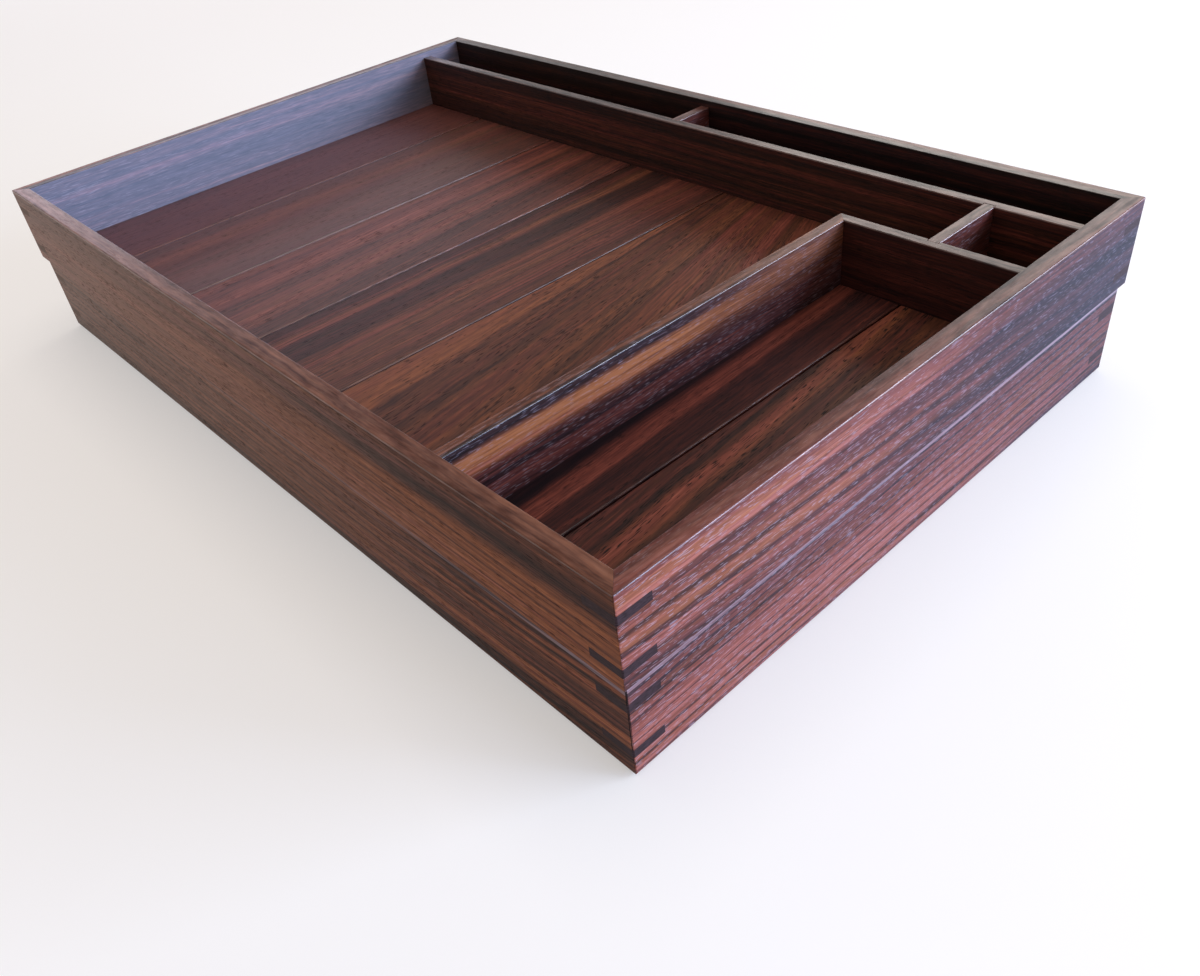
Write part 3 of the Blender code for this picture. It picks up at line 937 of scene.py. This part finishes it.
def wall_wood(tray, side):
    node = f"{tray}_{side}_wall"
    grain = X if side in ("front", "back") else Y
    look = WALL_LOOKS.get((tray, side), OTHER_WALL_LOOK)
    seed = WALL_SEEDS[tray] + SIDES.index(side)
    return Board(f"{node}_wood", *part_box(node), grain, Z, True, look, seed).material


def plank_wood(tray, number):
    """The upper tray's planks, and the same boards in the other order in the lower one."""
    node = f"{tray}_floor_plank_{number}"
    look = PLANK_LOOKS[number if tray == "upper" else PLANKS[-1] + 1 - number]
    return Board(f"{node}_wood", *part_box(node), Y, X, False, look, PLANK_SEEDS[tray] + number).material


def divider_wood(node, seed):
    return Board(f"{node}_wood", *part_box(node), DIVIDERS[node], Z, True, DIVIDER_LOOKS[node], seed).material


def batten_wood(node, seed):
    return Board(f"{node}_wood", *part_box(node), X, Y, False, BATTEN_LOOK, seed).material


def key_wood(corner):
    """The dark, finely streaked wood of one corner's keys."""
    dark, pale = KEY_TONES[corner]
    wood = Finish(f"key_{corner}_wood")
    streak = wood.noise(*(axis * cells for axis, cells in zip(wood.axes, KEY_GRAIN)))
    wood.surface({
        "Base Color": wood.ramp(streak + 0.5, list(zip(KEY_STREAKS, (dark, pale)))),
        "Roughness": streak * KEY_UNEVENNESS + KEY_ROUGHNESS,
        "Specular IOR Level": KEY_GLOSS,
    })
    return wood.material


def make_trays():
    keys = {corner: key_wood(corner) for corner in CORNERS}
    for tray in TRAYS:
        for side in SIDES:
            finish_piece(make_wall(tray, side), f"{tray}_{side}_wall", wall_wood(tray, side))
        for number in PLANKS:
            node = f"{tray}_floor_plank_{number}"
            finish_piece(make_plank(tray, number), node, plank_wood(tray, number))
        for corner in CORNERS:
            for storey in STOREYS:
                node = f"{tray}_key_{corner}_{storey}"
                finish_piece(key_piece(node, corner, 0), node, keys[corner])


def make_inside():
    for seed, node in enumerate(DIVIDERS, DIVIDER_SEED):
        finish_piece(make_divider(node), node, divider_wood(node, seed))
    for seed, node in enumerate(BATTENS, BATTEN_SEED):
        finish_piece(make_batten(node), node, batten_wood(node, seed))


# Studio

def lamp(name, place, aim, size, strength, colour):
    """A soft rectangular lamp; its strength is the brightness of its face."""
    data = bpy.data.lights.new(name, "AREA")
    data.shape = "RECTANGLE"
    data.size, data.size_y = size
    data.energy = strength * math.pi * size[0] * size[1]
    data.color = colour
    light = bpy.data.objects.new(name, data)
    bpy.context.scene.collection.objects.link(light)
    light.location = place
    light.rotation_euler = (Vector(aim) - Vector(place)).to_track_quat("-Z", "Y").to_euler()


def make_world():
    """Seen by the camera or in a gloss, white at the horizon and grey overhead. Else a soft light."""
    world = bpy.data.worlds.new("studio")
    bpy.context.scene.world = world
    world.use_nodes = True
    world.node_tree.nodes.clear()
    studio = Nodes(world.node_tree)
    way = studio.node("ShaderNodeTexCoord", {}, output="Generated")
    height = studio.node("ShaderNodeSeparateXYZ", {}, way, output="Z")
    backdrop = studio.mix(height.over(*HORIZON_TO_OVERHEAD), WHITE, OVERHEAD_GREY)
    soft = studio.node("ShaderNodeBackground", {}, Color=SOFT_COLOUR, Strength=SOFT_STRENGTH)
    white = studio.node("ShaderNodeBackground", {}, Color=backdrop, Strength=1.0)
    shown = studio.node("ShaderNodeMixShader", {}, studio.seen(), soft, white)
    studio.put(studio.tree.nodes.new("ShaderNodeOutputWorld").inputs["Surface"], shown)


def make_floor():
    """White paper that shows the trays' shadow near them and fades to plain white further away."""
    select_nothing()
    bpy.ops.mesh.primitive_plane_add(size=PAPER_SIZE, location=(0, 0, -PAPER_DROP))
    floor = bpy.context.active_object
    floor.name = "studio_floor"
    paper = Finish("studio_floor_paper")
    paper.surface({
        "Base Color": PAPER_COLOUR,
        "Roughness": PAPER_ROUGHNESS,
        "Specular IOR Level": PAPER_GLOSS,
    })
    x, y, _ = paper.axes
    away = (x * x + y * y).over(PAPER_NEAR ** 2, PAPER_FAR ** 2)
    glow = paper.seen() * (away * (1 - PAPER_GLOW) + PAPER_GLOW)
    white = paper.node("ShaderNodeEmission", {}, Color=WHITE, Strength=1.0)
    shown = paper.node("ShaderNodeMixShader", {}, glow, Value(paper, paper.shader.outputs["BSDF"]), white)
    paper.put(paper.tree.nodes["Material Output"].inputs["Surface"], shown)
    floor.data.materials.append(paper.material)


def make_camera():
    data = bpy.data.cameras.new("photograph")
    data.lens = CAMERA_LENS
    data.sensor_width = SENSOR_WIDTH
    camera = bpy.data.objects.new("photograph", data)
    bpy.context.scene.collection.objects.link(camera)
    camera.location = CAMERA_PLACE
    level = (Vector(CAMERA_AIM) - Vector(CAMERA_PLACE)).to_track_quat("-Z", "Y")
    camera.rotation_mode = "QUATERNION"
    camera.rotation_quaternion = level @ Quaternion((0, 0, 1), math.radians(CAMERA_ROLL))
    bpy.context.scene.camera = camera


make_camera()
make_trays()
make_inside()
make_world()
make_floor()
for lamp_name, settings in LAMPS.items():
    lamp(lamp_name, *settings)
bpy.context.scene.view_settings.view_transform = "Standard"
